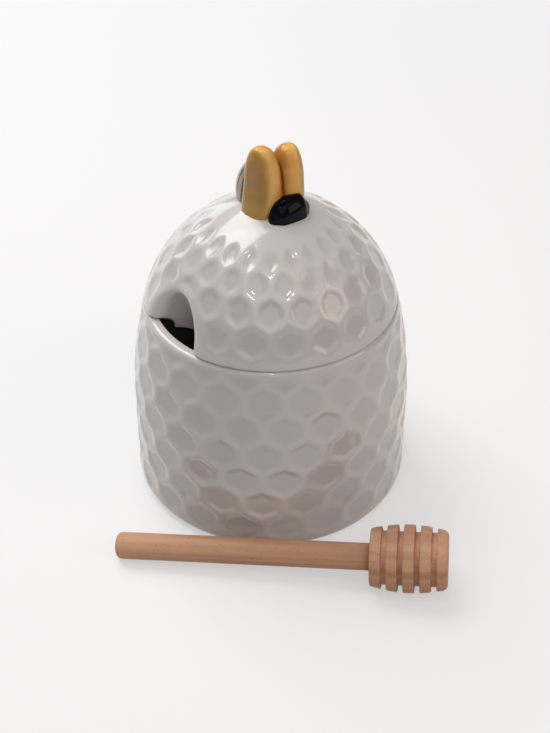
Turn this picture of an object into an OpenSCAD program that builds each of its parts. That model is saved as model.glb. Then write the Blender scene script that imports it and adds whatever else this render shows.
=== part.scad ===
// Beehive honey pot: a glazed pot with honeycomb cells, a loose domed lid with a niche for the
// dipper and a bee for its knob, and a turned wooden dipper that lies in front of the pot.
// The origin is at the centre of the foot, on the table. -Y is the front and +Z is up.

/* [Pot] */
// Height of the pot, from the table to its rim
pot_h = 85; // [84:0.5:88]
// Widest radius of the pot
pot_r = 55.4; // [55:0.1:56.5]
// Height at which the wall begins to lean in
lean_z = 38; // [36:1:40]
// Radius of the leaning wall, seen from the side
lean_r = 184; // [180:1:190]
// Radius of the lower corner
corner_r = 5.5; // [5:0.25:6]
// Thickness of the pot's wall
wall = 4.2; // [4:0.1:4.6]
// Height of the floor inside the pot
floor_z = 6; // [5.5:0.25:7]
// Radius of the hollow under the foot
foot_r = 42; // [38:1:44]
// Depth of the hollow under the foot
foot_d = 1.6; // [1:0.1:2]
// Radius of the rounded outer edge of the rim
lip_r = 2.2; // [1.8:0.1:2.4]

/* [Lid] */
// Radius of the lid's side, seen from the side
side_r = 56; // [55:0.5:57]
// Radius of the lid's crown, seen from the side
crown_r = 40; // [39:0.5:42]
// Angle from upright of the lid's side at the seam
lid_lean = 14.3; // [14:0.1:15]
// Radius of the lid's rounded lower edge
lid_lip_r = 1.2; // [1:0.1:1.4]
// Thickness of the lid's shell
shell = 4.2; // [4:0.1:4.6]
// Depth of the flange that locates the lid in the mouth
flange_h = 4; // [3:0.5:5]
// Thickness of the flange
flange_w = 3; // [2.8:0.1:3.4]
// Gap between the flange and the mouth
flange_gap = 0.8; // [0.6:0.1:1]

/* [Dipper niche] */
// Direction of the niche, from the front towards the left
niche_az = 53; // [50:0.5:56]
// Radius of the niche's round back
niche_r = 6.6; // [6.2:0.1:7]
// Distance of the round back's centre from the axis
niche_x = 40.6; // [40:0.2:41.4]
// Height of the niche above the seam
niche_h = 20.5; // [19:0.5:21]
// Radius of the scoop that opens the niche outwards
scoop_r = 26; // [25.5:0.5:26.5]
// Distance of the scoop's centre from the axis
scoop_x = 68.4; // [68:0.2:69]

/* [Honeycomb] */
// Cells in each row, round the pot and round the lid
cells = 21; // [21:1:21]
// Height of one row of cells on the pot
row_h = 12; // [11.8:0.05:12.1]
// Height of the lowest row's centre
row_z = 12; // [12:0.1:12.4]
// Width of the raised web between cells
web = 2.2; // [2:0.1:2.6]
// Width of the slope from the web to a cell's floor
slope = 1.4; // [1.2:0.1:1.6]
// Depth of a cell
cell_d = 0.9; // [0.7:0.05:1]
// Turn of the lowest row, from the front towards the right
pot_turn = 5.1; // [4:0.1:6]
// Turn of the lid's lowest row, from the front towards the right
lid_turn = 8.4; // [8:0.1:9]

/* [Bee] */
// Direction in which the bee looks, from the front towards the right
bee_az = 37; // [34:1:40]
// Radius of the abdomen
abdomen_r = 9; // [8.6:0.1:9.2]
// Radius of the head
head_r = 5.7; // [5.4:0.1:6]
// Thickness of a wing at half its height
wing_t = 9.8; // [9:0.1:10]
// Width of a wing at half its height
wing_w = 13.4; // [12.8:0.1:13.6]
// Angle by which the wings' back edges stand further apart than their front edges
wing_toe = 8; // [4:1:10]
// Height of the right wing's tip above the table
wing_z = 151.5; // [148:0.5:152]
// Distance of the wings' middle planes from the bee's centre plane
wing_x = 5.2; // [5:0.1:5.4]

/* [Dipper] */
// Length of the whole dipper
dipper_l = 128.8; // [127:0.1:130]
// Radius of the handle
handle_r = 5.2; // [5:0.1:5.4]
// Length of the head
barrel_l = 29.5; // [29:0.1:30.5]
// Radius of the head at its middle
barrel_r = 12.9; // [12.5:0.1:13.2]
// Radius of the head at its ends
barrel_end_r = 10.9; // [10.8:0.1:11]
// Radius at the bottom of the grooves
groove_r = 10.2; // [9.8:0.1:10.4]
// Number of rings on the head
rings = 5; // [5:1:5]
// Width of a groove
groove_w = 2.1; // [1.9:0.1:2.3]
// Turn of the dipper on the table
dipper_turn = -7.4; // [-8:0.2:-7]

/* [Hidden] */
$fn = 96;

// Points on a round stretch of an outline
function arc(c, r, from, to, n) =
    [for (i = [0:n]) let (a = from + (to - from) * i / n) c + r * [cos(a), sin(a)]];

// Radius and lean of the pot's outer wall at a height
function wall_r(z) = z < lean_z ? pot_r : pot_r - lean_r + sqrt(pow(lean_r, 2) - pow(z - lean_z, 2));
function wall_lean(z) = z < lean_z ? 0 : asin((z - lean_z) / lean_r);

rim_lean = wall_lean(pot_h);
rim_r = wall_r(pot_h);
mouth_r = rim_r - wall;
inner_corner_r = 9;
lean_c = [pot_r - lean_r, lean_z];

// Centres of the lid's two arcs, and the angle at which they meet
side_c = [rim_r - side_r * cos(lid_lean), pot_h - side_r * sin(lid_lean)];
crown_z = side_c[1] + sqrt(pow(side_r - crown_r, 2) - pow(side_c[0], 2));
meet_a = atan2(crown_z - side_c[1], -side_c[0]);
lid_top = crown_z + crown_r;
flange_r = mouth_r - flange_gap;
flange_in = flange_r - flange_w;
inner_a = acos((flange_in - side_c[0]) / (side_r - shell));

// The lid's rows of cells, as distances up its side from the seam
lid_rows = [10.75, 22, 32, 42];
// Distance over which the web narrows to a point above the top row
last_row_h = 8.4;
// Cells nearer to the niche than these angles are left out, row by row
niche_clear = [22, 13, 0, 0];
// Plain band under the pot's rim, and the height of the cut-off row below it
band_h = 2.6;

// Bee's place: the middle of its centre line, and where head and abdomen lie along it
bee_xy = [1.2, 1.3];
head_y = -8.6;
abdomen_y = 9.4;
thorax_r = 6.4;
// Heights at which the head and the body are widest, how far they go down from there, and their size there
head_z = lid_top + 1.5;
body_z = lid_top + 4.8;
bee_drop = 8;
bee_plan = 0.99;

ring_w = (barrel_l - (rings - 1) * groove_w) / rings;
barrel_arc_r = (pow(barrel_l / 2, 2) + pow(barrel_r - barrel_end_r, 2)) / 2 / (barrel_r - barrel_end_r);
handle_l = dipper_l - barrel_l;
handle_round = 2.4;
tenon_r = 3.5;
tenon_l = 14;
tilt_run = handle_l + barrel_l / 2 - ring_w / 2 - handle_round;
dipper_tilt = atan((barrel_r - 0.05 - handle_r) / tilt_run);
dipper_at = [-60.3, -57.3, handle_r * cos(dipper_tilt) - handle_round * sin(dipper_tilt)];

// Radius of the dipper's head at a distance along it
function barrel(x) = barrel_r - barrel_arc_r + sqrt(pow(barrel_arc_r, 2) - pow(x - barrel_l / 2, 2));

// One cell's cutter, its centre on the surface, +Y up the wall and +Z outwards
module cell(w, up, down, up_cut = 0) {
    outline = up_cut > 0
        ? [[0, -down * 2 / 3], [w / 2, -down / 3], [w / 2, up_cut], [-w / 2, up_cut], [-w / 2, -down / 3]]
        : [[0, -down * 2 / 3], [w / 2, -down / 3], [w / 2, up / 3],
           [0, up * 2 / 3], [-w / 2, up / 3], [-w / 2, -down / 3]];
    n = len(outline);
    clear = 0.6;
    surface_k = 1 - web / w;
    slope_k = 2 * slope / w;
    function ring(k, z) = [for (p = outline) [p[0] * k, p[1] * k, z]];
    polyhedron(
        points = concat(ring(surface_k - slope_k, -cell_d), ring(surface_k + slope_k * clear / cell_d, clear)),
        faces = concat(
            [[for (i = [0:n - 1]) i], [for (i = [n - 1:-1:0]) n + i]],
            [for (i = [0:n - 1]) let (j = (i + 1) % n) [i, n + i, n + j, j]]));
}

// Puts a cutter on the wall, at an angle round the axis, a radius, a height and a lean
module on_wall(turn, r, z, lean) {
    rotate([0, 0, turn]) translate([0, -r, z]) rotate([90 - lean, 0, 0]) children();
}

module pot_cells() {
    pitch = 360 / cells;
    rows = floor((pot_h - row_z) / row_h);
    for (row = [0:rows - 1], i = [0:cells - 1]) {
        z = row_z + row * row_h;
        on_wall(pot_turn + pitch * (i + row % 2 / 2), wall_r(z), z, wall_lean(z))
            cell(2 * PI * wall_r(z) / cells, row_h, row_h);
    }
    top_z = row_z + rows * row_h;
    cut_z = pot_h - band_h;
    for (i = [0:cells - 1])
        on_wall(pot_turn + pitch * (i + rows % 2 / 2), wall_r(cut_z - 2), cut_z - 2, wall_lean(cut_z - 2))
            cell(2 * PI * wall_r(cut_z) / cells, 0, (cut_z - 2 - (top_z - row_h * 2 / 3)) * 3 / 2, 2);
}

module lid_cells() {
    pitch = 360 / cells;
    for (row = [0:len(lid_rows) - 1], i = [0:cells - 1]) {
        lean = lid_lean + lid_rows[row] / side_r * 180 / PI;
        at = side_c + side_r * [cos(lean), sin(lean)];
        turn = lid_turn + pitch * (i + row % 2 / 2);
        down = row == 0 ? lid_rows[1] - lid_rows[0] : lid_rows[row] - lid_rows[row - 1];
        up = row == len(lid_rows) - 1 ? last_row_h : lid_rows[row + 1] - lid_rows[row];
        away = abs((turn + niche_az + 540) % 360 - 180);
        if (away >= niche_clear[row])
            on_wall(turn, at[0], at[1], lean) cell(2 * PI * at[0] / cells, up, down);
    }
}

module pot() {
    lip_a = asin((pot_h - lip_r - lean_z) / (lean_r - lip_r));
    outer = concat(
        arc([pot_r - corner_r, corner_r], corner_r, -90, 0, 6),
        arc(lean_c, lean_r, 0, lip_a, 8),
        arc(lean_c + (lean_r - lip_r) * [cos(lip_a), sin(lip_a)], lip_r, lip_a + 20, 90, 3));
    inner = concat(
        arc([mouth_r + 0.8, pot_h - 0.8], 0.8, 90, 180, 3),
        arc(lean_c, lean_r - wall, rim_lean - 0.6, 0, 8),
        arc([pot_r - wall - inner_corner_r, floor_z + inner_corner_r], inner_corner_r, 0, -90, 6));
    color("gainsboro") difference() {
        rotate_extrude() polygon(concat([[0, foot_d], [foot_r - foot_d, foot_d], [foot_r, 0]],
                                        outer, inner, [[0, floor_z]]));
        pot_cells();
    }
}

// The lid's outer outline, from the seam to the top
function lid_outer() =
    let (lip_a = asin((pot_h + lid_lip_r - side_c[1]) / (side_r - lid_lip_r)))
    concat(
        arc(side_c + (side_r - lid_lip_r) * [cos(lip_a), sin(lip_a)], lid_lip_r, -90, lip_a - 20, 4),
        arc(side_c, side_r, lip_a, meet_a, 14),
        arc([0, crown_z], crown_r, meet_a, 90, 5));

// The lid filled up inside, flange included
module lid_block() {
    rotate_extrude() polygon(concat([[0, pot_h - flange_h], [flange_r, pot_h - flange_h], [flange_r, pot_h]],
                                    lid_outer()));
}

// The niche's space, or the block that its wall is made from when it is grown
module niche(grow = 0) {
    base_z = pot_h - flange_h - 2;
    rotate([0, 0, -90 - niche_az]) {
        translate([niche_x, 0, base_z]) cylinder(r = niche_r + grow, h = pot_h + niche_h - niche_r - base_z);
        translate([niche_x, 0, pot_h + niche_h - niche_r]) sphere(r = niche_r + grow);
        translate([scoop_x, 0, base_z]) cylinder(r = scoop_r + grow, h = niche_h + flange_h);
    }
}

module lid() {
    inner = concat(
        [[0, lid_top - shell]],
        arc([0, crown_z], crown_r - shell, 90, meet_a, 5),
        arc(side_c, side_r - shell, meet_a, inner_a, 10));
    color("whitesmoke") difference() {
        union() {
            rotate_extrude() polygon(concat(
                [[flange_in, pot_h - flange_h], [flange_r, pot_h - flange_h], [flange_r, pot_h]],
                lid_outer(), inner));
            intersection() { lid_block(); niche(shell - 0.6); }
        }
        niche();
        lid_cells();
    }
}

// Turns a piece of the bee from its own frame, looking along -Y, to its place on the lid
module on_lid() {
    translate([bee_xy[0], bee_xy[1], 0]) rotate([0, 0, bee_az]) children();
}

// Thorax and abdomen before they are cut to the lid: an egg and a ball, carried straight down to it
module bee_trunk() {
    outline = [for (a = [-90:7.5:90]) [abdomen_r * cos(a) * (1 + 0.08 * sin(a)), (abdomen_r + 0.6) * sin(a)]];
    n = len(outline);
    translate([0, abdomen_y, body_z]) {
        rotate([90, 0, 0]) rotate_extrude() polygon(outline);
        translate([0, 0, -bee_drop]) linear_extrude(bee_drop) polygon(bee_plan *
            concat(outline, [for (i = [n - 2:-1:1]) [-outline[i][0], outline[i][1]]]) * [[1, 0], [0, -1]]);
    }
    translate([0, 0, body_z]) sphere(r = thorax_r);
    translate([0, 0, body_z - bee_drop]) cylinder(r = bee_plan * thorax_r, h = bee_drop);
}

// Head before it is cut to the lid: a ball drawn out sideways and down, with an eye at each side
module bee_skull() {
    half = 2;
    translate([0, head_y, head_z]) {
        for (side = [-1, 1]) {
            translate([side * half, 0, 0]) sphere(r = head_r);
            translate([side * 6, -1.4, -1.6]) sphere(r = 2.1);
        }
        translate([-half, 0, 0]) rotate([0, 90, 0]) cylinder(r = head_r, h = 2 * half);
        translate([0, 0, -bee_drop]) linear_extrude(bee_drop) polygon(bee_plan * concat(
            arc([half, 0], head_r, -90, 90, 12), arc([-half, 0], head_r, 90, 270, 12)));
    }
}

module bee_body() {
    color("wheat") difference() {
        on_lid() bee_trunk();
        lid_block();
    }
}

module bee_head() {
    color("black") difference() {
        on_lid() bee_skull();
        on_lid() bee_trunk();
        lid_block();
    }
}

// One upright wing: a thick lobe that widens downwards, cut to its neighbours and at the bee's centre plane
module wing(side, tip_z, forward) {
    half_t = wing_t / 2;
    half_w = wing_w / 2;
    tip_r = half_t - 1.3;
    base_z = lid_top - 4;
    // Height, half width, half thickness and shift outwards of the lobe at five places
    spans = [[base_z, half_w + 1.2, half_t + 1.2, 0], [base_z + 9, half_w + 0.6, half_t + 0.6, 0],
             [base_z + 16, half_w, half_t, 0.1], [tip_z - 5.6, half_w - 1.1, half_t - 0.5, 0.4],
             [tip_z - tip_r, half_w - 2.6, tip_r, 0.7]];
    color("goldenrod") difference() {
        on_lid() translate([side * wing_x, -forward, 0]) rotate([0, 0, -side * wing_toe])
            hull() for (s = spans, end = [-1, 1])
                translate([side * s[3], end * (s[1] - s[2]), s[0]]) sphere(r = s[2], $fn = 24);
        on_lid() translate([side > 0 ? -20 : 0, -30, base_z - 20]) cube([20, 60, 60]);
        on_lid() { bee_trunk(); bee_skull(); }
        lid_block();
    }
}

module bee_wing_left() { wing(1, wing_z - 2.8, 1.3); }

module bee_wing_right() { wing(-1, wing_z, 0); }

// Turns a piece of the dipper from its own frame, with its axis along +X, to where it lies
module on_table() {
    translate(dipper_at) rotate([0, 0, dipper_turn]) rotate([0, 90 - dipper_tilt, 0]) children();
}

module dipper_handle() {
    color("tan") on_table() rotate_extrude() polygon(concat(
        [[0, 0]],
        arc([handle_r - handle_round, handle_round], handle_round, -90, 0, 6),
        [[handle_r, handle_l], [tenon_r, handle_l], [tenon_r, handle_l + tenon_l], [0, handle_l + tenon_l]]));
}

module dipper_head() {
    end_round = 2.4;
    chamfer = 0.5;
    color("peru") on_table() translate([0, 0, handle_l]) rotate_extrude() polygon(concat(
        [[tenon_r, 0], [barrel(0) - chamfer, 0], [barrel(chamfer), chamfer]],
        [for (i = [0:rings - 2]) let (x0 = i * (ring_w + groove_w), x1 = x0 + ring_w)
            each [[barrel(x0 + ring_w / 2), x0 + ring_w / 2], [barrel(x1), x1],
                  [groove_r, x1], [groove_r, x1 + groove_w], [barrel(x1 + groove_w), x1 + groove_w]]],
        arc([barrel(barrel_l) - end_round, barrel_l - end_round], end_round, 0, 90, 5),
        [[0, barrel_l], [0, tenon_l], [tenon_r, tenon_l]]));
}

pot();
lid();
bee_body();
bee_head();
bee_wing_left();
bee_wing_right();
dipper_handle();
dipper_head();
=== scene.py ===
import math

import bmesh
import bpy
import numpy as np
from mathutils import Euler, Matrix, Vector


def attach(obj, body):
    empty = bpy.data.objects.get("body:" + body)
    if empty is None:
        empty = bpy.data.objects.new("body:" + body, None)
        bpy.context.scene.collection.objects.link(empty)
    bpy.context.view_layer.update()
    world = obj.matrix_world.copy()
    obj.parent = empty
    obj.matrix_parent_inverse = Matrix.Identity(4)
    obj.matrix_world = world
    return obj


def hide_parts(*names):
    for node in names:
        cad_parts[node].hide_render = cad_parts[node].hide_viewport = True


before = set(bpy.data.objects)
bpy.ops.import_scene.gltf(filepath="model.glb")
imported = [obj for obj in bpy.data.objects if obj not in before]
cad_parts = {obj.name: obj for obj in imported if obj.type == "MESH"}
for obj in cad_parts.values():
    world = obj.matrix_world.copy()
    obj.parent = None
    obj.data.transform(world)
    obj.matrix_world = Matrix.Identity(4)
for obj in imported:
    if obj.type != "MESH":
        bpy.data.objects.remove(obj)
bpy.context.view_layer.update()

mm = 0.001          # everything below is in millimetres until it becomes a vertex
cellsRound = 21     # honeycomb cells in one row, on the pot and on the lid
columns = 24 * cellsRound


# Shader maths written as plain sums
class Wire:
    # one output of a node, so that masks and patterns are written as plain maths
    def __init__(self, recipe, socket):
        self.recipe, self.socket = recipe, socket

    def maths(self, operation, *others):
        values = {index: value for index, value in enumerate((self,) + others)}
        return self.recipe.add("ShaderNodeMath", {"operation": operation}, values)

    def __add__(self, other):
        return self.maths("ADD", other)

    def __sub__(self, other):
        return self.maths("SUBTRACT", other)

    def __mul__(self, other):
        return self.maths("MULTIPLY", other)

    def __rsub__(self, other):
        return self.recipe.add("ShaderNodeMath", {"operation": "SUBTRACT"}, {0: other, 1: self})

    __radd__ = __add__
    __rmul__ = __mul__

    def output(self, name):
        return Wire(self.recipe, self.socket.node.outputs[name])


class Recipe:
    # one material, and the one method that adds any node to it
    def __init__(self, name):
        self.material = bpy.data.materials.new(name)
        self.material.use_nodes = True
        self.tree = self.material.node_tree
        self.tree.nodes.clear()

    def add(self, kind, settings=None, values=None, result=0):
        node = self.tree.nodes.new(kind)
        for name, value in (settings or {}).items():
            if name == "stops":
                ramp = node.color_ramp.elements
                while len(ramp) < len(value):
                    ramp.new(0.5)
                for stop, (position, colour) in zip(ramp, value):
                    stop.position, stop.color = position, (*colour, 1)
            else:
                setattr(node, name, value)
        for name, value in (values or {}).items():
            socket = node.inputs[name]
            if isinstance(value, Wire):
                self.tree.links.new(value.socket, socket)
            elif socket.type == "RGBA":
                socket.default_value = (*value, 1)
            else:
                socket.default_value = value
        return Wire(self, node.outputs[result])

    def place(self, origin=(0, 0, 0), turn=(0, 0, 0)):
        # where a point lies on the piece, in metres, in a frame of the piece's own
        point = self.add("ShaderNodeTexCoord", result="Object")
        return self.add("ShaderNodeMapping", {"vector_type": "TEXTURE"},
                        {"Vector": point, "Location": origin, "Rotation": turn})

    def stretched(self, place, scale):
        return self.add("ShaderNodeVectorMath", {"operation": "MULTIPLY"}, {0: place, 1: scale})

    def noise(self, place, scale, detail=2.0, roughness=0.5):
        return self.add("ShaderNodeTexNoise", None, {"Vector": place, "Scale": scale, "Detail": detail,
                                                     "Roughness": roughness})

    def soft(self, value, low, high):
        # 0 below low, 1 above high, and smooth between them
        return self.add("ShaderNodeMapRange", {"interpolation_type": "SMOOTHSTEP"},
                        {"Value": value, "From Min": low, "From Max": high})

    def mix(self, share, first, second):
        return self.add("ShaderNodeMix", {"data_type": "RGBA"}, {0: share, 6: first, 7: second}, 2)

    def attribute(self, name):
        return self.add("ShaderNodeAttribute", {"attribute_name": name}, None, "Fac")

    def bump(self, height, distance):
        return self.add("ShaderNodeBump", None, {"Height": height, "Distance": distance})

    def finish(self, **values):
        names = {name.replace("_", " "): value for name, value in values.items()}
        shader = self.add("ShaderNodeBsdfPrincipled", None, names)
        target = self.tree.nodes.new("ShaderNodeOutputMaterial")
        self.tree.links.new(shader.socket, target.inputs["Surface"])
        return self.material


# Shared modelling helpers
def arc(centre, radius, start, end, step):
    # points along a round stretch of an outline, about one step apart; angles in degrees
    count = max(2, math.ceil(abs(math.radians(end - start)) * radius / step))
    angles = [math.radians(start + (end - start) * i / count) for i in range(count + 1)]
    return [(centre[0] + radius * math.cos(a), centre[1] + radius * math.sin(a)) for a in angles]


def line(start, end, step):
    count = max(1, math.ceil(math.dist(start, end) / step))
    return [(start[0] + (end[0] - start[0]) * i / count, start[1] + (end[1] - start[1]) * i / count)
            for i in range(count + 1)]


def joined(*stretches):
    # one outline from several stretches; shared end points are kept once
    outline = []
    for stretch in stretches:
        for point in stretch:
            if not outline or math.dist(point, outline[-1]) > 0.02:
                outline.append(point)
    return outline


def spun(outline, steps):
    # turns an outline of (radius, height) round the Z axis; each vertex keeps the number of its row
    bm = bmesh.new()
    row = bm.verts.layers.int.new("row")
    chain = []
    for index, (radius, height) in enumerate(outline):
        vertex = bm.verts.new((0, -radius * mm, height * mm))
        vertex[row] = index
        chain.append(vertex)
    edges = [bm.edges.new(pair) for pair in zip(chain, chain[1:])]
    bmesh.ops.spin(bm, geom=chain + edges, cent=(0, 0, 0), axis=(0, 0, 1), dvec=(0, 0, 0),
                   angle=2 * math.pi, steps=steps, use_merge=True, use_duplicate=False)
    bmesh.ops.remove_doubles(bm, verts=bm.verts, dist=1e-6)
    bmesh.ops.recalc_face_normals(bm, faces=bm.faces)
    bm.verts.ensure_lookup_table()
    return bm, np.array([v[row] for v in bm.verts])


def pointsOf(bm):
    return np.array([v.co for v in bm.verts], float).reshape(-1, 3) / mm


def movePoints(bm, points):
    for vertex, point in zip(bm.verts, points * mm):
        vertex.co = point


def smoothStep(value, low, high):
    share = np.clip((value - low) / (high - low), 0, 1)
    return share * share * (3 - 2 * share)


def softMin(first, second, blend):
    overlap = np.maximum(blend - np.abs(first - second), 0)
    return np.minimum(first, second) - overlap ** 2 / (4 * blend)


def finishPiece(bm, name, material, body, node, attributes=None):
    mesh = bpy.data.meshes.new(name)
    bm.to_mesh(mesh)
    bm.free()
    if "row" in mesh.attributes:
        mesh.attributes.remove(mesh.attributes["row"])
    for title, values in (attributes or {}).items():
        mesh.attributes.new(title, "FLOAT", "POINT").data.foreach_set("value", values.astype(np.float32))
    mesh.shade_smooth()
    mesh.materials.append(material)
    piece = bpy.data.objects.new(name, mesh)
    bpy.context.scene.collection.objects.link(piece)
    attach(piece, body)
    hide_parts(node)
    print("built", name, len(mesh.vertices), "vertices")
    return piece


# Honeycomb relief
comb = {
    "depth": 0.75,         # of a cell's floor at its middle
    "webHalf": 0.15,       # half the flat top of a web
    "slope": 3.0,          # from the web's top to the floor
    "cornerBlend": 1.6,    # how round a cell's corners are
    "flatness": 0.8,       # 1 makes each floor a flat facet, 0 lets it follow the wall
    "unevenness": 0.12,    # how far cells differ in depth
    "shallowest": 0.25,    # of any floor
    "cutAway": 1.1,        # how far a cut row's cells reach past the cut
}
dice = np.random.default_rng(11)


def combDepth(angle, height, radius, rows, bendRadius):
    # depth of the relief for points at an angle round the axis and a distance up the wall
    deepest = np.zeros_like(angle)
    pitch = 2 * math.pi / cellsRound
    halfWidth = math.pi * radius / cellsRound
    for row in rows:
        vary = 1 + comb["unevenness"] * dice.uniform(-1, 1, cellsRound)
        rise = height - row["at"]
        reach = np.where(rise > 0, row["up"], row["down"])
        cell = np.round((angle - row["turn"]) / pitch)
        across = (angle - row["turn"] - cell * pitch) * radius
        toSide = halfWidth - np.abs(across)
        toSlant = (((2 * reach / 3 - np.abs(rise)) * halfWidth - np.abs(across) * reach / 3)
                   / np.hypot(reach / 3, halfWidth))
        inside = softMin(toSide, toSlant, comb["cornerBlend"])
        if "cut" in row:
            inside = softMin(inside, row["cut"] - height + comb["cutAway"], comb["cornerBlend"])
        sag = across ** 2 / (2 * radius) + (rise ** 2 / (2 * bendRadius) if bendRadius else 0)
        floor = comb["depth"] * vary[cell.astype(int) % cellsRound] - comb["flatness"] * sag
        wall = smoothStep(inside, comb["webHalf"], comb["webHalf"] + comb["slope"])
        deepest = np.maximum(deepest, wall * np.maximum(floor, comb["shallowest"]))
    return deepest


# Glazes and wood
def whiteGlaze():
    recipe = Recipe("whiteGlaze")
    place = recipe.place()
    relief = recipe.attribute("relief")
    # the cell floors are painted darker the deeper they lie: painted shade in the hollows of the relief
    shadedCells = recipe.mix(relief * 0.75, (0.70, 0.685, 0.665), (0.60, 0.585, 0.57))
    cloud = recipe.soft(recipe.noise(place, 26.0, 2.0), 0.35, 0.7)
    glaze = recipe.mix(cloud * 0.35, shadedCells, (0.64, 0.64, 0.655))
    # iron specks, a fraction of a millimetre across and far apart
    grid = recipe.add("ShaderNodeTexVoronoi", None, {"Vector": place, "Scale": 95.0}, "Distance")
    rare = recipe.add("ShaderNodeSeparateColor", None, {"Color": grid.output("Color")}, "Red")
    speck = (1 - recipe.soft(grid, 0.018, 0.045)) * recipe.soft(rare, 0.955, 0.96)
    glaze = recipe.mix(speck * 0.75, glaze, (0.16, 0.12, 0.09))
    # the foot ring is bare clay
    axes = recipe.add("ShaderNodeSeparateXYZ", None, {0: place}, "X")
    bare = 1 - recipe.soft(axes.output("Z"), 0.0003, 0.0006)
    grit = recipe.noise(place, 1500.0, 3.0, 0.7)
    colour = recipe.mix(bare, glaze, (0.60, 0.54, 0.46))
    ripple = recipe.noise(place, 210.0, 2.0, 0.45) + recipe.noise(place, 60.0, 1.0) * 1.5
    height = ripple * (1 - bare) + grit * bare
    return recipe.finish(Base_Color=colour,
                         Roughness=0.13 + cloud * 0.05 + bare * 0.6,
                         Coat_Weight=0.45 * (1 - bare), Coat_Roughness=0.03,
                         Normal=recipe.bump(height, 0.00012))


def amberGlaze(origin, turn):
    recipe = Recipe("amberGlaze")
    place = recipe.place(origin, turn)
    axes = recipe.add("ShaderNodeSeparateXYZ", None, {0: place}, "X")
    edge = recipe.attribute("edge")
    inner = recipe.attribute("inner")
    brush = recipe.noise(recipe.stretched(place, (500, 500, 110)), 1.0, 3.0, 0.6)
    pool = recipe.soft(recipe.noise(place, 190.0, 2.0), 0.35, 0.68)
    face = recipe.mix(inner, (0.50, 0.27, 0.05), (0.50, 0.20, 0.028))
    face = recipe.mix(pool * 0.5, face, (0.38, 0.20, 0.05))
    # paler amber along the lobes' rims and ends: a painted highlight on the rounded edges
    pale = recipe.mix(inner, (0.86, 0.52, 0.15), (0.88, 0.47, 0.11))
    colour = recipe.mix(recipe.soft(edge + brush * 0.35 - 0.17, 0.25, 0.95), face, pale)
    low = 1 - recipe.soft(axes.output("Z"), 0.1275, 0.1335)
    colour = recipe.mix(low * 0.7, colour, (0.58, 0.36, 0.08))
    return recipe.finish(Base_Color=colour, Roughness=0.12 + brush * 0.1, Specular_IOR_Level=0.3,
                         Coat_Weight=0.15, Coat_Roughness=0.03,
                         Normal=recipe.bump(brush + pool, 0.00006))


def stripedGlaze(origin, turn, bands, amberTo):
    recipe = Recipe("stripedGlaze")
    place = recipe.place(origin, turn)
    axes = recipe.add("ShaderNodeSeparateXYZ", None, {0: place}, "X")
    wobble = recipe.noise(place, 220.0, 2.0) * 0.0012 - 0.0006
    along = axes.output("Y") + wobble
    brush = recipe.noise(recipe.stretched(place, (900, 200, 900)), 1.0, 3.0, 0.6)
    base = recipe.mix(brush * 0.6, (0.43, 0.27, 0.165), (0.50, 0.36, 0.215))
    base = recipe.mix(recipe.soft(along, (amberTo - 1) * mm, (amberTo + 1) * mm), (0.60, 0.25, 0.04), base)
    ink = 0.0
    for middle, width in bands:
        away = (along - middle * mm).maths("ABSOLUTE")
        ink = (1 - recipe.soft(away, width * 0.42 * mm, width * 0.6 * mm)) + ink
    ink = ink.maths("MINIMUM", 1.0)
    colour = recipe.mix(ink, base, (0.013, 0.010, 0.010))
    return recipe.finish(Base_Color=colour, Roughness=0.1 + brush * 0.08,
                         Coat_Weight=0.5, Coat_Roughness=0.03,
                         Normal=recipe.bump(ink * 0.6 + brush * 0.3, 0.00008))


def blackGlaze():
    recipe = Recipe("blackGlaze")
    place = recipe.place()
    pool = recipe.noise(place, 240.0, 2.0)
    colour = recipe.mix(recipe.soft(pool, 0.3, 0.7), (0.002, 0.002, 0.003), (0.006, 0.006, 0.009))
    return recipe.finish(Base_Color=colour, Roughness=0.05 + pool * 0.05, Specular_IOR_Level=0.1,
                         Normal=recipe.bump(pool, 0.00008))


def beech(origin, turn):
    # Z of the wood's own frame runs along the grain
    recipe = Recipe("beech")
    place = recipe.place(origin, turn)
    warp = recipe.noise(recipe.stretched(place, (60, 60, 9)), 1.0, 2.0)
    figure = recipe.noise(recipe.stretched(place, (420, 150, 10)), 1.0, 3.0, 0.55)
    fibre = recipe.noise(recipe.stretched(place, (2600, 2600, 80)), 1.0, 2.0, 0.6)
    colour = recipe.mix(recipe.soft(figure, 0.34, 0.68), (0.74, 0.42, 0.26), (0.55, 0.285, 0.17))
    colour = recipe.mix(recipe.soft(warp, 0.42, 0.7) * 0.6, colour, (0.80, 0.47, 0.29))
    colour = recipe.mix(fibre * 0.2, colour, (0.44, 0.22, 0.135))
    # open pores show as short dark dashes along the grain
    dash = recipe.add("ShaderNodeTexVoronoi", None,
                      {"Vector": recipe.stretched(place, (2100, 2100, 560)), "Scale": 1.0}, "Distance")
    some = recipe.add("ShaderNodeSeparateColor", None, {"Color": dash.output("Color")}, "Red")
    pore = (1 - recipe.soft(dash, 0.14, 0.36)) * recipe.soft(some, 0.6, 0.7)
    colour = recipe.mix(pore * 0.45, colour, (0.30, 0.14, 0.08))
    return recipe.finish(Base_Color=colour, Roughness=0.5 + fibre * 0.14,
                         Normal=recipe.bump(fibre * 0.5 + figure * 0.4 - pore, 0.00009))


# Pot
potShape = {
    "height": 85, "radius": 55.4, "leanFrom": 38, "leanRadius": 184, "corner": 5.5, "wall": 4.2,
    "floor": 6, "footRadius": 42, "footDepth": 1.6, "lip": 2.2, "innerLip": 0.8, "innerCorner": 9,
    "fine": 0.85, "coarse": 3.2,                    # steps along the outline, outside and inside
    "rowHeight": 12, "firstRow": 12, "turn": 5.1, "plainBand": 2.6,
    "fadeFrom": 1.5, "fadeTo": 5,                   # heights over which the cells fade in above the foot
}


def potWall(height):
    shape = potShape
    above = np.maximum(height - shape["leanFrom"], 0)
    return shape["radius"] - shape["leanRadius"] + np.sqrt(shape["leanRadius"] ** 2 - above ** 2)


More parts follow.
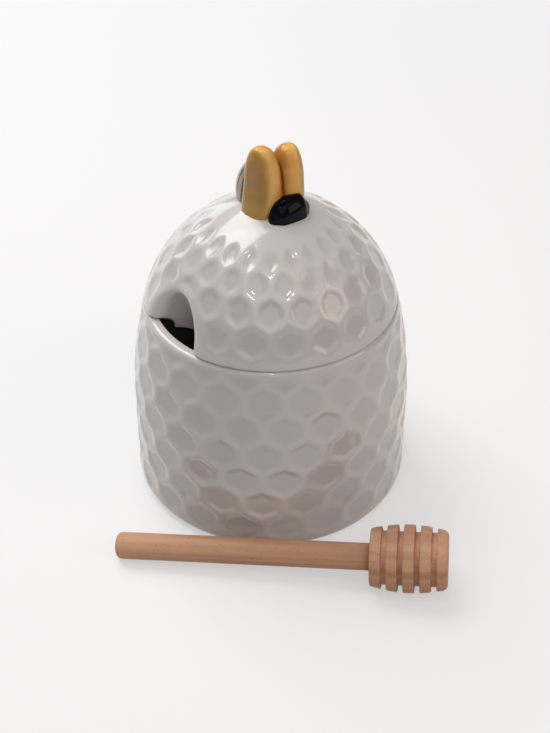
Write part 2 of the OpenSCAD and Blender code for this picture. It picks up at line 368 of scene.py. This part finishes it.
rimRadius = float(potWall(potShape["height"]))
mouthRadius = rimRadius - potShape["wall"]


def potOutline():
    shape = potShape
    fine, coarse = shape["fine"], shape["coarse"]
    radius, corner, lip, top = shape["radius"], shape["corner"], shape["lip"], shape["height"]
    leanCentre = (radius - shape["leanRadius"], shape["leanFrom"])
    lipAngle = math.degrees(math.asin((top - lip - shape["leanFrom"]) / (shape["leanRadius"] - lip)))
    lipReach = shape["leanRadius"] - lip
    lipCentre = (leanCentre[0] + lipReach * math.cos(math.radians(lipAngle)), top - lip)
    inner, innerCorner = radius - shape["wall"], shape["innerCorner"]
    innerTop = top - shape["innerLip"]
    rimAngle = math.degrees(math.asin((innerTop - shape["leanFrom"]) / (shape["leanRadius"] - shape["wall"])))
    return joined(
        line((0, shape["footDepth"]), (shape["footRadius"] - shape["footDepth"], shape["footDepth"]), 4),
        line((shape["footRadius"] - shape["footDepth"], shape["footDepth"]), (shape["footRadius"], 0), 0.8),
        line((shape["footRadius"], 0), (radius - corner, 0), 2),
        arc((radius - corner, corner), corner, -90, 0, fine),
        line((radius, corner), (radius, shape["leanFrom"]), fine),
        arc(leanCentre, shape["leanRadius"], 0, lipAngle, fine),
        arc(lipCentre, lip, lipAngle, 90, 0.3),
        line((lipCentre[0], top), (mouthRadius + shape["innerLip"], top), 0.7),
        arc((mouthRadius + shape["innerLip"], innerTop), shape["innerLip"], 90, 180, 0.3),
        arc(leanCentre, shape["leanRadius"] - shape["wall"], rimAngle, 0, coarse),
        line((inner, shape["leanFrom"]), (inner, shape["floor"] + innerCorner), coarse),
        arc((inner - innerCorner, shape["floor"] + innerCorner), innerCorner, 0, -90, 1.4),
        line((inner - innerCorner, shape["floor"]), (0, shape["floor"]), 4))


def potRows():
    shape = potShape
    high = shape["rowHeight"]
    count = int((shape["height"] - shape["firstRow"]) // high)
    pitch = 2 * math.pi / cellsRound
    rows = []
    for index in range(count + 1):
        rows.append({"at": shape["firstRow"] + index * high, "up": high, "down": high,
                     "turn": math.radians(shape["turn"]) + pitch * (index % 2) / 2})
    rows[-1]["cut"] = shape["height"] - shape["plainBand"]
    return rows


def buildPot(material):
    bm, row = spun(potOutline(), columns)
    points = pointsOf(bm)
    radius = np.hypot(points[:, 0], points[:, 1])
    height = points[:, 2]
    outside = (radius > potWall(height) - 0.4) & (height > 1) & (height < potShape["height"] - 0.8)
    angle = np.arctan2(points[:, 0], -points[:, 1])
    relief = combDepth(angle, height, np.maximum(radius, 1), potRows(), None)
    relief = np.where(outside, relief, 0) * smoothStep(height, potShape["fadeFrom"], potShape["fadeTo"])
    lean = np.arcsin(np.clip((height - potShape["leanFrom"]) / potShape["leanRadius"], 0, 1))
    around = points[:, :2] / np.maximum(radius, 1)[:, None]
    points[:, :2] -= around * (relief * np.cos(lean))[:, None]
    points[:, 2] -= relief * np.sin(lean)
    movePoints(bm, points)
    bmesh.ops.recalc_face_normals(bm, faces=bm.faces)
    return finishPiece(bm, "honeyPot", material, "pot", "pot",
                       {"relief": relief / comb["depth"]})


# Lid
lidShape = {
    "sideRadius": 56, "crownRadius": 40, "lean": 14.3, "shell": 4.2, "flangeDepth": 4, "flangeWidth": 3,
    "flangeGap": 0.8, "lip": 1.2, "fine": 0.85, "coarse": 1.7,
    "rows": [10.75, 22, 32, 42], "lastRow": 8.4, "turn": 8.4,
    "fadeFrom": 1.2, "fadeTo": 3,                   # heights over which the cells fade in above the seam
}
nicheShape = {
    "azimuth": 53,        # from the front towards the left
    "halfWidth": 17.4,    # at the seam
    "height": 18.2, "arch": 2.0,
    "depth": 15.2, "depthArch": 1.6,
    "zone": 42,           # degrees to either side in which the lid's wall is moved
    "wall": 4.4,
    "fadeFrom": 0.5, "fadeTo": 3.5,                 # distances over which the cells fade in beside it
    "backPull": 0.62, "edgePull": 0.5,              # how round the path is at the back and at the edges
    "lipSpread": 0.75, "lipReach": 3.6,             # how the opening widens from the glaze inwards
    "openFrom": 40.8, "openTo": 43.6,               # radii between which the flange goes
    "backBlend": 3.0, "smoothReach": 5, "smoothings": 6,
}
seam = potShape["height"]
sideCentre = (rimRadius - lidShape["sideRadius"] * math.cos(math.radians(lidShape["lean"])),
              seam - lidShape["sideRadius"] * math.sin(math.radians(lidShape["lean"])))
crownHeight = sideCentre[1] + math.sqrt((lidShape["sideRadius"] - lidShape["crownRadius"]) ** 2
                                        - sideCentre[0] ** 2)
lidTop = crownHeight + lidShape["crownRadius"]
meetAngle = math.degrees(math.atan2(crownHeight - sideCentre[1], -sideCentre[0]))


def domeRadius(height, inset=0.0):
    # radius of the dome at a height; inset is how far inside the glazed surface
    side, crown = lidShape["sideRadius"] - inset, lidShape["crownRadius"] - inset
    meetHeight = sideCentre[1] + side * math.sin(math.radians(meetAngle))
    onSide = sideCentre[0] + np.sqrt(np.maximum(side ** 2 - (height - sideCentre[1]) ** 2, 0))
    onCrown = np.sqrt(np.maximum(crown ** 2 - (height - crownHeight) ** 2, 0))
    return np.where(height < meetHeight, onSide, onCrown)


def domeHeight(radius, inset=0.0):
    # height of the crown at a radius, for what stands on it
    return crownHeight + np.sqrt(np.maximum((lidShape["crownRadius"] - inset) ** 2 - radius ** 2, 0))


def lidOutline():
    # dome, then edge (lip, seat and flange), then the flange's bottom, then the inside
    shape = lidShape
    fine, coarse, lip = shape["fine"], shape["coarse"], shape["lip"]
    lipAngle = math.degrees(math.asin((seam + lip - sideCentre[1]) / (shape["sideRadius"] - lip)))
    reach = shape["sideRadius"] - lip
    lipCentre = (sideCentre[0] + reach * math.cos(math.radians(lipAngle)), seam + lip)
    flange = mouthRadius - shape["flangeGap"]
    flangeInner = flange - shape["flangeWidth"]
    bottom = seam - shape["flangeDepth"]
    innerSide = shape["sideRadius"] - shape["shell"]
    innerAngle = math.degrees(math.acos((flangeInner - sideCentre[0]) / innerSide))
    dome = joined(arc((0, crownHeight), shape["crownRadius"], 90, meetAngle, fine),
                  arc(sideCentre, shape["sideRadius"], meetAngle, lipAngle, fine))
    edge = joined(arc(lipCentre, lip, lipAngle, -90, 0.3),
                  line((lipCentre[0], seam), (flange, seam), 0.8),
                  line((flange, seam), (flange, bottom), 0.8))
    under = line((flange, bottom), (flangeInner, bottom), 0.8)
    inside = joined(line((flangeInner, bottom), (flangeInner, sideCentre[1] + innerSide
                                                 * math.sin(math.radians(innerAngle))), coarse),
                    arc(sideCentre, innerSide, innerAngle, meetAngle, coarse),
                    arc((0, crownHeight), shape["crownRadius"] - shape["shell"], meetAngle, 90, coarse))
    outline = joined(dome, edge, under, inside)
    ends = [len(dome), len(dome) + len(edge) - 1, len(dome) + len(edge) + len(under) - 2]
    return outline, ends


def lidRows():
    shape = lidShape
    pitch = 2 * math.pi / cellsRound
    places = shape["rows"]
    rows = []
    for index, place in enumerate(places):
        below = places[1] - places[0] if index == 0 else place - places[index - 1]
        above = shape["lastRow"] if index == len(places) - 1 else places[index + 1] - place
        rows.append({"at": place, "up": above, "down": below,
                     "turn": math.radians(shape["turn"]) + pitch * (index % 2) / 2})
    return rows


def alongNiche(share, ring, deep, half):
    # a point on the level path from the niche's middle, round its edge and on along the dome
    zone = math.radians(nicheShape["zone"])
    edge = np.arcsin(np.clip(half / ring, 0, 0.95))
    corner = np.stack([ring * np.cos(edge), ring * np.sin(edge)], -1)
    level = np.stack([np.sin(edge), -np.cos(edge)], -1)
    handles = [np.stack([deep, np.zeros_like(deep)], -1), np.stack([deep, nicheShape["backPull"] * half], -1),
               corner + nicheShape["edgePull"] * half[:, None] * level, corner]
    steps = np.linspace(0, 1, 25)[None, :, None]
    curve = ((1 - steps) ** 3 * handles[0][:, None] + 3 * (1 - steps) ** 2 * steps * handles[1][:, None]
             + 3 * (1 - steps) * steps ** 2 * handles[2][:, None] + steps ** 3 * handles[3][:, None])
    lengths = np.concatenate([np.zeros((len(ring), 1)),
                              np.cumsum(np.linalg.norm(np.diff(curve, axis=1), axis=2), axis=1)], 1)
    total = lengths[:, -1] + ring * (zone - edge)
    wanted = share * total
    index = np.clip((lengths < wanted[:, None]).sum(1) - 1, 0, 23)
    pick = np.arange(len(ring))
    gap = np.maximum(lengths[pick, index + 1] - lengths[pick, index], 1e-9)
    part = np.clip((wanted - lengths[pick, index]) / gap, 0, 1)[:, None]
    onCurve = curve[pick, index] * (1 - part) + curve[pick, index + 1] * part
    turn = edge + (wanted - lengths[:, -1]) / ring
    onRing = np.stack([ring * np.cos(turn), ring * np.sin(turn)], -1)
    return np.where((wanted < lengths[:, -1])[:, None], onCurve, onRing)


def carveNiche(points, row, ends):
    # moves the wall beside the niche, with its lip, seat and flange, to go round the dipper's handle
    shape = nicheShape
    azimuth = math.radians(shape["azimuth"])
    outwards = np.array([-math.sin(azimuth), -math.cos(azimuth)])
    sideways = np.array([math.cos(azimuth), -math.sin(azimuth)])
    n = points[:, :2] @ outwards
    t = points[:, :2] @ sideways
    radius, height = np.hypot(n, t), points[:, 2]
    turn = np.arctan2(t, n)
    zone = math.radians(shape["zone"])
    chosen = np.flatnonzero((np.abs(turn) < zone) & (radius > 2))
    share, side = np.abs(turn[chosen]) / zone, np.sign(turn[chosen])
    ring, level, rows = radius[chosen], height[chosen], row[chosen]

    def niche(above):
        rise = np.clip(above / shape["height"], 0, 1)
        width = shape["halfWidth"] * np.sqrt(1 - rise ** shape["arch"])
        return width, shape["depth"] * (1 - rise ** shape["depthArch"])

    def spread(inwards):
        return shape["lipSpread"] * np.minimum(inwards, shape["lipReach"])

    onEdge = (rows >= ends[0]) & (rows < ends[1])
    under, inside = (rows >= ends[1]) & (rows < ends[2]), rows >= ends[2]
    half, depth = niche(level - seam)
    outer = np.where(level < seam, rimRadius, domeRadius(np.maximum(level, seam)))
    inset = np.clip(outer - ring, 0, None)
    deep = np.where(inside, softMin(ring, outer - depth - shape["wall"], shape["backBlend"]), ring - depth)
    deep = np.where(depth > 0.01, deep, ring)
    plain = alongNiche(share, ring, deep, half + spread(inset) * (half > 0.5))

    # where the niche is open the flange goes, and its wall runs straight down
    full = np.full_like(ring, rimRadius)
    half0, depth0 = shape["halfWidth"], shape["depth"]
    reference = alongNiche(share, full, full - depth0, np.full_like(ring, half0))
    away = np.linalg.norm(reference, axis=1)
    open_ = 1 - smoothStep(away, shape["openFrom"], shape["openTo"])
    edgeShare = np.clip((rows - ends[0]) / (ends[1] - ends[0]), 0, 1)
    underShare = np.clip((rows - ends[1]) / (ends[2] - ends[1]), 0, 1)
    inset1 = np.where(under, shape["wall"] * underShare, 0)
    bare = alongNiche(share, full - inset1, full - inset1 - depth0, half0 + spread(inset1))
    bottom = seam - lidShape["flangeDepth"]
    bareHeight = np.where(under, bottom, (seam + lidShape["lip"]) * (1 - edgeShare) + bottom * edgeShare)
    weight = np.where(onEdge | under, open_, 0)
    moved = plain * (1 - weight)[:, None] + bare * weight[:, None]
    newHeight = level * (1 - weight) + bareHeight * weight
    result = points.copy()
    result[chosen, :2] = moved[:, :1] * outwards + (moved[:, 1:] * side[:, None]) * sideways
    result[chosen, 2] = newHeight
    return result, (outwards, sideways)


def buildLid(material):
    outline, ends = lidOutline()
    bm, row = spun(outline, columns)
    points, (outwards, sideways) = carveNiche(pointsOf(bm), row, ends)
    movePoints(bm, points)
    n, t = points[:, :2] @ outwards, points[:, :2] @ sideways
    above = points[:, 2] - seam
    span, tall = nicheShape["halfWidth"], nicheShape["height"]
    rise = np.maximum(above, 0.01) / tall
    level = (t / span) ** 2 + rise ** nicheShape["arch"]
    slope = np.hypot(2 * t / span ** 2, nicheShape["arch"] * rise ** (nicheShape["arch"] - 1) / tall)
    beside = np.where(n > 0, (level - 1) / slope, 99)
    near = (beside < nicheShape["smoothReach"]) & (n > 20)
    for _ in range(nicheShape["smoothings"]):
        bmesh.ops.smooth_vert(bm, verts=[v for v, pick in zip(bm.verts, near) if pick], factor=0.5,
                              use_axis_x=True, use_axis_y=True, use_axis_z=True)
    points = pointsOf(bm)
    radius, height = np.hypot(points[:, 0], points[:, 1]), points[:, 2]
    lean = np.arcsin(np.clip((height - sideCentre[1]) / lidShape["sideRadius"], 0, 1))
    up = lidShape["sideRadius"] * (lean - math.radians(lidShape["lean"]))
    angle = np.arctan2(points[:, 0], -points[:, 1])
    relief = combDepth(angle, up, np.maximum(radius, 5), lidRows(), lidShape["sideRadius"])
    relief *= smoothStep(beside, nicheShape["fadeFrom"], nicheShape["fadeTo"])
    relief *= smoothStep(height, seam + lidShape["fadeFrom"], seam + lidShape["fadeTo"]) * (row < ends[0])
    around = points[:, :2] / np.maximum(radius, 1)[:, None]
    points[:, :2] -= around * (relief * np.cos(lean))[:, None]
    points[:, 2] -= relief * np.sin(lean)
    movePoints(bm, points)
    bmesh.ops.recalc_face_normals(bm, faces=bm.faces)
    return finishPiece(bm, "domedLid", material, "lid", "lid",
                       {"relief": relief / comb["depth"]})


# Bee
beeShape = {
    "at": (1.2, 1.3), "heading": 37,                # degrees from the front towards the right
    "abdomen": 9.0, "abdomenLength": 9.6, "abdomenY": 9.4, "egg": 0.08, "thorax": 6.4, "waist": 1.6,
    "bodyTop": 140.2, "bodyUp": 0.6, "amberTo": 2.2,
    "bands": [(16.6, 1.3), (12.0, 1.6), (8.0, 2.0), (3.4, 1.5)],   # place and width along the body
    "head": 5.7, "headHalf": 2.5, "headY": -8.1, "headTop": 132.7, "headUp": -0.8,
    "headShort": 0.95, "headTilt": 0.012,           # front to back, and how much higher its left side is
    "eyeAt": (5.4, -1.4, 0.6), "eyeReach": 3.1, "eyeSwell": 1.0,
    "sunk": 1.2,                                    # how far every part reaches into the lid's glaze
}
wingShape = {
    "out": 5.2, "lean": 0.7,                        # from the centre plane to a lobe, and more at its tip
    "halfThick": 5.0, "nearBase": 9.6, "farBase": 6.0,   # from its middle outwards
    "innerThick": 6.5, "innerBase": 7.8,            # and inwards, cut at the centre plane
    "halfWide": 6.8, "wideBase": 8.2, "nearOut": 0.5,
    "square": 2.8, "squareTip": 2.1,                # 2 is a round section, more is squarer
    "widePower": 0.66, "thickPower": 0.6, "basePower": 0.2,   # how bluntly a lobe closes at its ends
    "below": 6,                                     # how far the lobes start below the lid's top
    "toe": 8, "tip": 150.9, "farLower": 2.0, "farForward": 1.3,
}
beeTurn = math.radians(beeShape["heading"])
beeOrigin = (beeShape["at"][0] * mm, beeShape["at"][1] * mm, 0)
beeFrame = Matrix.Translation(beeOrigin) @ Matrix.Rotation(beeTurn, 4, "Z")


def seatOnLid(bm):
    # flattens what would reach through the lid, a little below its surface
    for vertex in bm.verts:
        radius = math.hypot(vertex.co.x, vertex.co.y) / mm
        lowest = (float(domeHeight(radius)) - beeShape["sunk"]) * mm
        vertex.co.z = max(vertex.co.z, lowest)


def buildBeeBody(material):
    # turned round the bee's own centre line, then drawn down to meet the lid at its widest
    shape = beeShape
    middle = lidTop + shape["bodyUp"]
    tail = shape["abdomenY"] + shape["abdomenLength"]
    steps = 72
    outline = []
    for step in range(steps + 1):
        y = tail - (tail + shape["thorax"]) * (1 - math.cos(math.pi * step / steps)) / 2
        along = np.clip((shape["abdomenY"] - y) / shape["abdomenLength"], -1, 1)
        egg = shape["abdomen"] * math.sqrt(1 - along ** 2) * (1 + shape["egg"] * along)
        ball = math.sqrt(max(shape["thorax"] ** 2 - y ** 2, 0))
        blended = float(-softMin(-egg, -ball, shape["waist"]))
        outline.append((blended if 0 < step < steps else 0, y))
    bm, _ = spun(outline, 96)
    bmesh.ops.rotate(bm, cent=(0, 0, 0), matrix=Matrix.Rotation(math.radians(90), 3, "X"), verts=bm.verts)
    bmesh.ops.scale(bm, vec=(1, -1, (shape["bodyTop"] - middle) / shape["abdomen"]), verts=bm.verts)
    bmesh.ops.translate(bm, vec=(0, 0, middle * mm), verts=bm.verts)
    bmesh.ops.transform(bm, matrix=beeFrame, verts=bm.verts)
    seatOnLid(bm)
    bmesh.ops.recalc_face_normals(bm, faces=bm.faces)
    return finishPiece(bm, "beeBody", material, "lid", "bee_body")


def buildBeeHead(material):
    shape = beeShape
    middle = float(domeHeight(-shape["headY"])) + shape["headUp"]
    tall = (shape["headTop"] - middle) / shape["head"] / 1.04      # the tilt adds a little at the top
    bm = bmesh.new()
    bmesh.ops.create_uvsphere(bm, u_segments=96, v_segments=64, radius=shape["head"] * mm)
    eyeX, eyeY, eyeZ = shape["eyeAt"]
    eyes = [Vector((side * eyeX, eyeY, eyeZ)) for side in (-1, 1)]
    for vertex in bm.verts:
        point = vertex.co / mm
        swell = 0
        for eye in eyes:
            away = (point.normalized() * shape["head"] - eye).length
            near = max(0, 1 - (away / shape["eyeReach"]) ** 2)
            swell = max(swell, shape["eyeSwell"] * near ** 2)
        point.x += shape["headHalf"] * max(-1, min(1, point.x / 2.5))
        point += point.normalized() * swell
        point.y *= shape["headShort"]
        point.z *= tall * (1 + shape["headTilt"] * point.x)
        vertex.co = point * mm
    bmesh.ops.translate(bm, vec=(0, shape["headY"] * mm, middle * mm), verts=bm.verts)
    bmesh.ops.transform(bm, matrix=beeFrame, verts=bm.verts)
    seatOnLid(bm)
    bmesh.ops.recalc_face_normals(bm, faces=bm.faces)
    return finishPiece(bm, "beeHead", material, "lid", "bee_head")


def buildWing(name, node, side, tip, forward, material):
    # a ball drawn out into a lobe that widens downwards and stops at the bee's centre plane
    shape = wingShape
    base = lidTop - shape["below"]
    toe = -side * math.radians(shape["toe"])
    outerBase = shape["farBase"] if side > 0 else shape["nearBase"]
    bm = bmesh.new()
    bmesh.ops.create_uvsphere(bm, u_segments=96, v_segments=72, radius=1)
    edge, inner = [], []
    for vertex in bm.verts:
        sx, sy, sz = vertex.co
        level = 1 - math.acos(max(-1, min(1, sz))) / math.pi
        ringSize = math.hypot(sx, sy)
        ux, uy = (sx / ringSize, sy / ringSize) if ringSize > 1e-6 else (0, 0)
        wave = max(math.sin(math.pi * level), 0)
        low, high = max(0, 1 - 2 * level), max(0, 2 * level - 1)
        power = 2 / (shape["square"] + (shape["squareTip"] - shape["square"]) * high)
        widePower = shape["basePower"] if low else shape["widePower"]
        thickPower = shape["basePower"] if low else shape["thickPower"]
        wide = (shape["halfWide"] + (shape["wideBase"] - shape["halfWide"]) * low) * wave ** widePower
        if side * ux > 0:
            middle, foot = shape["halfThick"], outerBase
        else:
            middle, foot = shape["innerThick"], shape["innerBase"]
        thick = (middle + (foot - middle) * low) * wave ** thickPower
        out = side * (shape["out"] + shape["lean"] * high ** 2 + max(-side, 0) * shape["nearOut"])
        across = thick * math.copysign(abs(ux) ** power, ux)
        along = wide * math.copysign(abs(uy) ** power, uy)
        x = out + across * math.cos(toe) - along * math.sin(toe)
        y = across * math.sin(toe) + along * math.cos(toe) - forward
        z = base + (tip - base) * (1 - math.cos(math.pi * level)) / 2
        vertex.co = (side * max(side * x, 0) * mm, y * mm, z * mm)
        # nearness to the lobe's rims and ends, where the amber glaze gets its painted highlight
        edge.append(1 - abs(ux) * wave ** 0.5)
        inner.append(1.0 if side * ux < 0 else 0.0)
    bmesh.ops.transform(bm, matrix=beeFrame, verts=bm.verts)
    seatOnLid(bm)
    bmesh.ops.recalc_face_normals(bm, faces=bm.faces)
    return finishPiece(bm, name, material, "lid", node,
                       {"edge": np.array(edge), "inner": np.array(inner)})


# Dipper
dipperShape = {
    "length": 128.8, "handle": 5.2, "handleRound": 2.4, "barrelLength": 29.5, "barrel": 12.9,
    "barrelEnd": 10.9, "groove": 10.2, "grooveWidth": 2.1, "rings": 5, "endRound": 2.4,
    "tenon": 3.5, "tenonLength": 14, "turn": -7.4, "at": (-60.3, -57.3), "edgeRound": 0.35,
}
ringWidth = ((dipperShape["barrelLength"] - (dipperShape["rings"] - 1) * dipperShape["grooveWidth"])
             / dipperShape["rings"])
handleLength = dipperShape["length"] - dipperShape["barrelLength"]


def dipperFrame():
    # the dipper lies on its handle's end and on its last ring but half
    shape = dipperShape
    run = handleLength + shape["barrelLength"] / 2 - ringWidth / 2 - shape["handleRound"]
    tilt = math.atan((shape["barrel"] - 0.05 - shape["handle"]) / run)
    up = shape["handle"] * math.cos(tilt) - shape["handleRound"] * math.sin(tilt)
    origin = Vector((shape["at"][0], shape["at"][1], up)) * mm
    turn = Euler((0, math.pi / 2 - tilt, math.radians(shape["turn"])))
    return origin, turn


def barrelRadius(x):
    shape = dipperShape
    half = shape["barrelLength"] / 2
    rise = shape["barrel"] - shape["barrelEnd"]
    bow = (half ** 2 + rise ** 2) / 2 / rise
    return shape["barrel"] - bow + math.sqrt(bow ** 2 - (x - half) ** 2)


def layDown(bm):
    origin, turn = dipperFrame()
    bmesh.ops.transform(bm, matrix=Matrix.Translation(origin) @ turn.to_matrix().to_4x4(), verts=bm.verts)
    bmesh.ops.recalc_face_normals(bm, faces=bm.faces)


def buildHandle(material):
    shape = dipperShape
    rounding = shape["handleRound"]
    outline = joined(
        line((0, 0), (shape["handle"] - rounding, 0), 1),
        arc((shape["handle"] - rounding, rounding), rounding, -90, 0, 0.35),
        line((shape["handle"], rounding), (shape["handle"], handleLength), 3),
        line((shape["handle"], handleLength), (shape["tenon"], handleLength), 2),
        line((shape["tenon"], handleLength), (shape["tenon"], handleLength + shape["tenonLength"]), 5),
        line((shape["tenon"], handleLength + shape["tenonLength"]),
             (0, handleLength + shape["tenonLength"]), 4))
    bm, _ = spun(outline, 96)
    layDown(bm)
    return finishPiece(bm, "dipperHandle", material, "dipper", "dipper_handle")


def buildDipperHead(material):
    shape = dipperShape
    long, groove, width = shape["barrelLength"], shape["groove"], shape["grooveWidth"]
    stretches = [[(shape["tenon"], 0)]]
    for index in range(shape["rings"]):
        start = index * (ringWidth + width)
        end = start + ringWidth
        if index > 0:
            stretches.append([(groove, start - width), (groove, start)])
        last = shape["endRound"] if index == shape["rings"] - 1 else 0
        places = [start + (ringWidth - last) * i / 4 for i in range(5)]
        stretches.append([(barrelRadius(place), place) for place in places])
        if last:
            stretches.append(arc((barrelRadius(end - last) - last, end - last), last, 0, 90, 0.5))
    stretches += [line((barrelRadius(long) - shape["endRound"], long), (0, long), 2),
                  [(0, shape["tenonLength"]), (shape["tenon"], shape["tenonLength"])],
                  line((shape["tenon"], shape["tenonLength"]), (shape["tenon"], 0), 4)]
    outline = joined(*stretches)
    bm, _ = spun(outline, 128)
    bmesh.ops.remove_doubles(bm, verts=bm.verts, dist=1e-6)
    sharp = [e for e in bm.edges if len(e.link_faces) == 2 and e.calc_face_angle(0) > math.radians(50)
             and (e.verts[0].co.xy.length > (groove - 0.5) * mm)]
    bmesh.ops.bevel(bm, geom=sharp, offset=shape["edgeRound"] * mm, offset_type="OFFSET", segments=3,
                    profile=0.5, affect="EDGES", clamp_overlap=True, material=-1)
    bmesh.ops.translate(bm, vec=(0, 0, handleLength * mm), verts=bm.verts)
    layDown(bm)
    return finishPiece(bm, "dipperHead", material, "dipper", "dipper_head")


# Assembly
glaze = whiteGlaze()
buildPot(glaze)
buildLid(glaze)
beeEuler = (0, 0, beeTurn)
buildBeeBody(stripedGlaze(beeOrigin, beeEuler, beeShape["bands"], beeShape["amberTo"]))
buildBeeHead(blackGlaze())
amber = amberGlaze(beeOrigin, beeEuler)
buildWing("wingNear", "bee_wing_right", -1, wingShape["tip"], 0, amber)
buildWing("wingFar", "bee_wing_left", 1, wingShape["tip"] - wingShape["farLower"], wingShape["farForward"],
          amber)
dipperOrigin, dipperTurn = dipperFrame()
wood = beech(dipperOrigin, dipperTurn)
buildHandle(wood)
buildDipperHead(wood)
print("pieces done")


# Studio
studio = {
    "target": (0, 0, 59.6), "distance": 544, "elevation": 38.1,
    "focalPixels": 1360, "imageHeight": 733,
    "offsetX": 4, "offsetY": -21.5,                 # pixels from the target's image to the picture's middle
    "worldLight": 0.17,
}


def whiteFloor():
    # pale to the eye and in reflections; it throws less, warmer light back on the pot
    recipe = Recipe("paleFloor")
    seen = recipe.add("ShaderNodeLightPath", result="Is Camera Ray")
    glossy = recipe.add("ShaderNodeLightPath", result="Is Glossy Ray")
    shown = (seen + glossy).maths("MINIMUM", 1.0)
    # far from the pot it glows evenly, beyond the reach of the lamps
    out = recipe.add("ShaderNodeVectorMath", {"operation": "LENGTH"}, {0: recipe.place()}, "Value")
    far = recipe.soft(out, 0.3, 0.8)
    pale = recipe.mix(far, (0.46, 0.46, 0.465), (0, 0, 0))
    lit = recipe.mix(far, (0.48, 0.48, 0.485), (0.93, 0.93, 0.935))
    colour = recipe.mix(shown, (0.50, 0.47, 0.45), pale)
    glow = recipe.mix(shown, (0, 0, 0), lit)
    return recipe.finish(Base_Color=colour, Roughness=0.9, Emission_Color=glow, Emission_Strength=1.0)


def buildFloor():
    bm = bmesh.new()
    bmesh.ops.create_grid(bm, x_segments=1, y_segments=1, size=4)
    mesh = bpy.data.meshes.new("floor")
    bm.to_mesh(mesh)
    bm.free()
    floor = bpy.data.objects.new("floor", mesh)
    floor.data.materials.append(whiteFloor())
    floor.location.z = -0.0001
    bpy.context.scene.collection.objects.link(floor)


def addLamp(name, azimuth, elevation, distance, size, power, colour):
    # an area lamp that looks at the pot; azimuth runs from the front towards the right
    aim = Vector((0, 0, 0.07))
    a, e = math.radians(azimuth), math.radians(elevation)
    away = Vector((math.sin(a) * math.cos(e), -math.cos(a) * math.cos(e), math.sin(e))) * distance
    light = bpy.data.lights.new(name, "AREA")
    light.shape, light.size, light.size_y = "RECTANGLE", size[0], size[1]
    light.energy, light.color = power, colour
    lamp = bpy.data.objects.new(name, light)
    lamp.location = aim + away
    lamp.rotation_euler = away.to_track_quat("Z", "Y").to_euler()
    bpy.context.scene.collection.objects.link(lamp)


def buildWorld():
    world = bpy.data.worlds.new("studioWorld")
    bpy.context.scene.world = world
    world.use_nodes = True
    tree = world.node_tree
    tree.nodes.clear()
    path = tree.nodes.new("ShaderNodeLightPath")
    dim, white = tree.nodes.new("ShaderNodeBackground"), tree.nodes.new("ShaderNodeBackground")
    dim.inputs["Color"].default_value = (0.95, 0.97, 1.0, 1)
    dim.inputs["Strength"].default_value = studio["worldLight"]
    white.inputs["Strength"].default_value = 1.0
    white.inputs["Color"].default_value = (0.96, 0.96, 0.965, 1)
    blend = tree.nodes.new("ShaderNodeMixShader")
    result = tree.nodes.new("ShaderNodeOutputWorld")
    tree.links.new(path.outputs["Is Camera Ray"], blend.inputs[0])
    tree.links.new(dim.outputs[0], blend.inputs[1])
    tree.links.new(white.outputs[0], blend.inputs[2])
    tree.links.new(blend.outputs[0], result.inputs["Surface"])


def buildCamera():
    target = Vector(studio["target"]) * mm
    e = math.radians(studio["elevation"])
    distance = studio["distance"] * mm
    data = bpy.data.cameras.new("camera")
    data.sensor_width = 36
    data.lens = studio["focalPixels"] * 36 / studio["imageHeight"]
    data.shift_x = studio["offsetX"] / studio["imageHeight"]
    data.shift_y = studio["offsetY"] / studio["imageHeight"]
    camera = bpy.data.objects.new("camera", data)
    camera.location = target + Vector((0, -math.cos(e), math.sin(e))) * distance
    camera.rotation_euler = (math.pi / 2 - e, 0, 0)
    bpy.context.scene.collection.objects.link(camera)
    bpy.context.scene.camera = camera


buildFloor()
buildWorld()
addLamp("keyAbove", -142, 58, 1.0, (0.7, 0.7), 6.0, (1.0, 0.97, 0.94))
addLamp("windowLeft", -110, 60, 0.9, (0.4, 0.5), 0.9, (0.90, 0.96, 1.0))
addLamp("windowBack", -148, 12, 1.0, (0.5, 0.35), 0.9, (0.92, 0.97, 1.0))
addLamp("lampBack", -157, 40, 1.0, (0.10, 0.06), 0.25, (1.0, 0.98, 0.95))
addLamp("frontSoft", 12, 50, 1.1, (1.1, 0.9), 2.6, (1.0, 0.88, 0.81))
addLamp("warmRight", 68, 27, 0.9, (0.45, 0.45), 1.3, (1.0, 0.80, 0.66))
addLamp("bulb", -3, 67, 0.8, (0.05, 0.05), 0.4, (1.0, 0.97, 0.93))
buildCamera()
bpy.context.scene.view_settings.view_transform = "Standard"
print("studio done")
